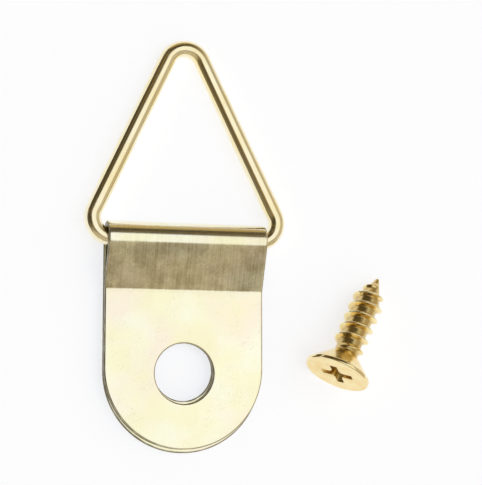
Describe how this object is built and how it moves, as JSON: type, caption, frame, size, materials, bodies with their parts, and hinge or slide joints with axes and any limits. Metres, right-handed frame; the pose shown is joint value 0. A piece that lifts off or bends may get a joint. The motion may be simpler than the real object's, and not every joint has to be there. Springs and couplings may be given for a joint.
{
  "type": "picture hanger",
  "caption": "Folded sheet metal strap with a screw hole and a swinging three cornered wire ring, for hanging a picture frame, with its loose wood screw.",
  "frame": {"origin": "on the strap's back face, which lies against the picture frame, on the centreline midway between the ring's hinge line and the rim of the screw hole", "axes": "+Z out of the strap's front, away from the picture frame; +Y along the strap towards the ring's apex; X across the strap, along the ring's hinge line"},
  "size_m": [0.027, 0.0362, 0.0058],
  "materials": {
    "strap_plate": "bright pale brass plating on mild steel sheet",
    "ring_wire": "bright pale brass plating on drawn steel wire",
    "screw_plate": "deeper yellow plating on a steel wood screw"
  },
  "bodies": {
    "strap": {"strap": "strap_plate"},
    "ring": {"ring": "ring_wire"},
    "screw": {"screw": "screw_plate"}
  },
  "joints": [
    {"name": "ring_swing", "type": "hinge", "parent": "strap", "child": "ring", "pos_m": [0, 0.00447, 0.00145], "axis": [1, 0, 0], "range_deg": [-140, 169]},
    {"name": "screw_lift", "type": "slide", "parent": "strap", "child": "screw", "axis": [0, 0, 1], "range_m": [0, 0.025]}
  ]
}
